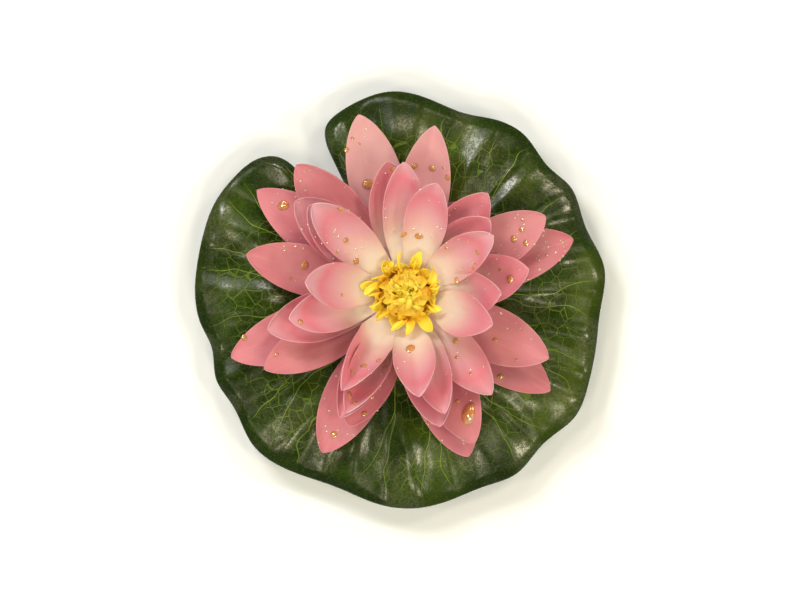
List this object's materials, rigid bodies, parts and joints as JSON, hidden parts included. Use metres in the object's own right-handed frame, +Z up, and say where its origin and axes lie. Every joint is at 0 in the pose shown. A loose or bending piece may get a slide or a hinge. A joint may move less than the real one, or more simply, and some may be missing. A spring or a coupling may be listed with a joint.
{
  "type": "floating pool light",
  "caption": "Floating pool light shaped as a water lily: foam leaf and stacked foam petals on a sealed battery capsule with a domed lamp, coin hatch and push button.",
  "frame": {"origin": "centre of the battery capsule's foot rim, on the plane that the light stands on", "axes": "+Z up along the neck's axis, +X from the hatch towards the push button, +Y along the leaf's longer way, with the leaf's notch at about 122 degrees from +X"},
  "size_m": [0.1802, 0.1833, 0.0731],
  "materials": {
    "petal_foam": "formed foam sheet, matte, fine woven grain, cream to pink",
    "stamen_foam": "formed foam sheet, matte, golden yellow",
    "leaf_foam": "formed foam sheet, dark green with lime veins, soft sheen",
    "float_foam": "closed-cell foam, fine cells",
    "housing_plastic": "moulded, satin",
    "hatch_plastic": "moulded, satin, coin slot",
    "button_rubber": "moulded silicone, matte",
    "lens_plastic": "frosted translucent diffuser",
    "nut_plastic": "moulded, yellow",
    "seal_rubber": "moulded, black",
    "screw_steel": "stainless steel",
    "board_laminate": "glass-epoxy board with solder mask",
    "chip_plastic": "epoxy package",
    "resistor_coat": "lacquered film resistor",
    "led_epoxy": "clear epoxy lens",
    "lead_tin": "tinned wire",
    "cell_steel": "nickel-plated steel can",
    "contact_nickel": "nickel-plated spring steel",
    "cradle_plastic": "moulded"
  },
  "bodies": {
    "root": {"leaf_pad": "leaf_foam", "float_ring": "float_foam", "petal_blank_1": "petal_foam", "petal_blank_2": "petal_foam", "petal_blank_3": "petal_foam", "petal_blank_4": "petal_foam", "petal_blank_5": "petal_foam", "stamen_skirt": "stamen_foam", "stamen_crown_outer": "stamen_foam", "stamen_crown_inner": "stamen_foam", "ring_nut": "nut_plastic", "lens_gasket": "seal_rubber", "lens_dome": "lens_plastic", "capsule_body": "housing_plastic", "base_gasket": "seal_rubber", "base_plate": "housing_plastic", "plate_screws": "screw_steel", "battery_cradle": "cradle_plastic", "battery_cell_lower": "cell_steel", "battery_cell_upper": "cell_steel", "side_contact": "contact_nickel", "spring_contact": "contact_nickel", "circuit_board": "board_laminate", "board_screws": "screw_steel", "switch_body": "chip_plastic", "led_lamp": "led_epoxy", "led_leads": "lead_tin", "led_collar": "cradle_plastic", "resistor": "resistor_coat", "driver_chip": "chip_plastic"},
    "hatch": {"battery_hatch": "hatch_plastic", "hatch_seal": "seal_rubber"},
    "button": {"power_button": "button_rubber", "button_seal": "seal_rubber"},
    "plunger": {"switch_plunger": "chip_plastic"}
  },
  "joints": [
    {"name": "hatch_turn", "type": "hinge", "parent": "root", "child": "hatch", "pos_m": [-0.00575, 0, 0.0026], "axis": [0, 0, 1], "range_deg": [0, 60]},
    {"name": "button_press", "type": "slide", "parent": "root", "child": "button", "axis": [0, 0, 1], "range_m": [0, 0.0005], "stiffness_N_per_m": 600, "springref_m": -0.0003},
    {"name": "switch_press", "type": "slide", "parent": "root", "child": "plunger", "axis": [0, 0, 1], "range_m": [0, 0.0005]}
  ],
  "couplings": [
    {"joint": "switch_press", "follows": "button_press", "ratio": 1}
  ]
}
